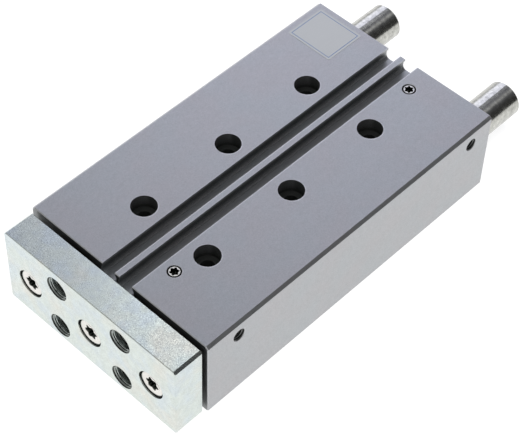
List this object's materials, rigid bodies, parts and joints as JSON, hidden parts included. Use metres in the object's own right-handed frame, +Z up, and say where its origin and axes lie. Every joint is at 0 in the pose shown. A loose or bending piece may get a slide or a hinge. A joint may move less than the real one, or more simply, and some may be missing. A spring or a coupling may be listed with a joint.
{
  "type": "guided pneumatic cylinder",
  "caption": "Flat guided pneumatic cylinder: a slotted block body with guide rods and a piston rod that push a yoke end plate, with side air ports.",
  "frame": {"origin": "on the base face of the body, at the centre of its mounting hole pattern, midway between the guide rods", "axes": "+X the way the yoke plate travels out, +Y the side with the air ports, +Z up from the base face"},
  "size_m": [0.1816, 0.083, 0.0352],
  "materials": {
    "anodised_aluminium": "satin anodised, grey",
    "plated_steel": "zinc plated, pale blue passivated",
    "hard_chrome": "ground and hard chromed",
    "bright_steel": "bright plated",
    "turned_aluminium": "turned",
    "bearing_bronze": "turned",
    "spring_steel": "phosphated, dark",
    "black_rubber": "moulded",
    "seal_rubber": "moulded",
    "magnet_ferrite": "bonded",
    "wear_plastic": "moulded"
  },
  "bodies": {
    "cylinder_body": {"housing": "anodised_aluminium", "front_port_plug": "bright_steel", "rear_port_plug": "bright_steel", "bearing_cap": "turned_aluminium", "bearing_cap_o_ring": "black_rubber", "rod_seal": "seal_rubber", "rod_bush": "bearing_bronze", "front_retaining_ring": "spring_steel", "rear_cover": "turned_aluminium", "rear_cover_o_ring": "black_rubber", "rear_retaining_ring": "spring_steel", "left_wiper": "black_rubber", "left_front_bush": "bearing_bronze", "left_rear_bush": "bearing_bronze", "right_wiper": "black_rubber", "right_front_bush": "bearing_bronze", "right_rear_bush": "bearing_bronze"},
    "carriage": {"yoke_plate": "plated_steel", "left_yoke_screw": "bright_steel", "centre_yoke_screw": "bright_steel", "right_yoke_screw": "bright_steel", "left_guide_rod": "hard_chrome", "right_guide_rod": "hard_chrome", "piston_rod": "hard_chrome", "piston_front_half": "turned_aluminium", "piston_rear_half": "turned_aluminium", "piston_magnet": "magnet_ferrite", "piston_wear_ring": "wear_plastic", "piston_front_seal": "seal_rubber", "piston_rear_seal": "seal_rubber", "front_buffer": "seal_rubber", "rear_buffer": "seal_rubber", "piston_screw": "bright_steel"}
  },
  "joints": [
    {"name": "yoke_travel", "type": "slide", "parent": "cylinder_body", "child": "carriage", "axis": [1, 0, 0], "range_m": [0, 0.1]}
  ]
}
